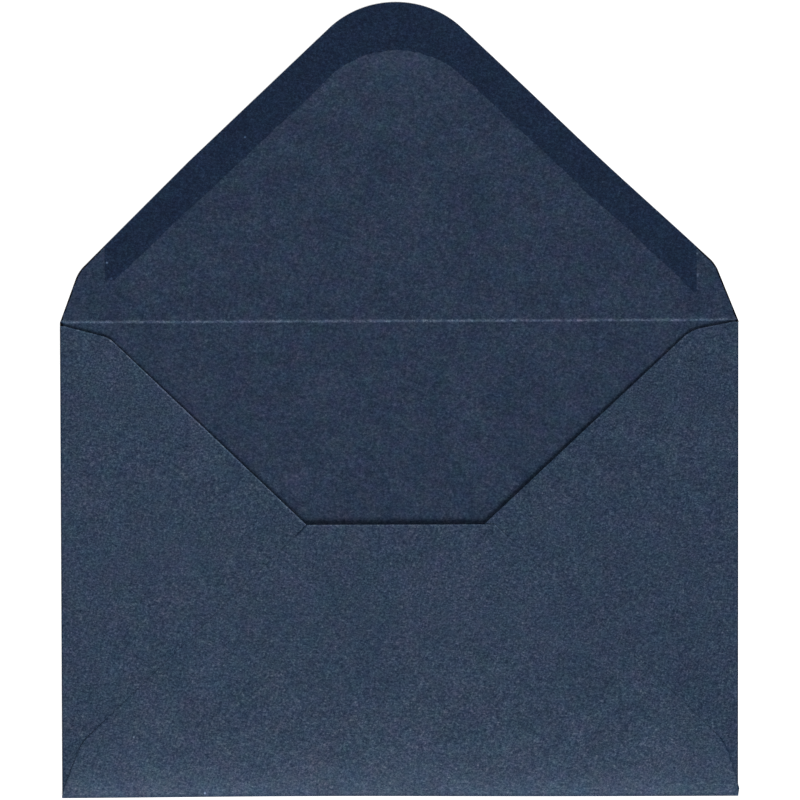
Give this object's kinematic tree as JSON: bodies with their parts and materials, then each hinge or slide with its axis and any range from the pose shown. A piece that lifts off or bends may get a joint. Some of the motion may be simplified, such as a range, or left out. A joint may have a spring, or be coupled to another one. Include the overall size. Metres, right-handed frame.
{
  "type": "paper envelope",
  "caption": "Folded paper envelope for a postcard or folded letter, with a glued pocket and a pointed, gummed top flap opened flat.",
  "frame": {"origin": "middle of the address face, halfway between the side folds and halfway between the bottom fold and the flap's crease", "axes": "+Z out of the address face through the paper to the back, +Y in the face from the bottom fold to the open flap, +X to the right as the back is seen with the flap at the top"},
  "size_m": [0.162, 0.1904, 0.0024],
  "materials": {
    "sheet": "uncoated, dyed through, deep blue",
    "seam_glue": "dry glue film",
    "flap_gum": "dry moisten-to-stick gum, satin"
  },
  "bodies": {
    "root": {"envelope_sheet": "sheet", "seam_glue_left": "seam_glue", "seam_glue_right": "seam_glue", "flap_gum": "flap_gum"}
  },
  "joints": []
}
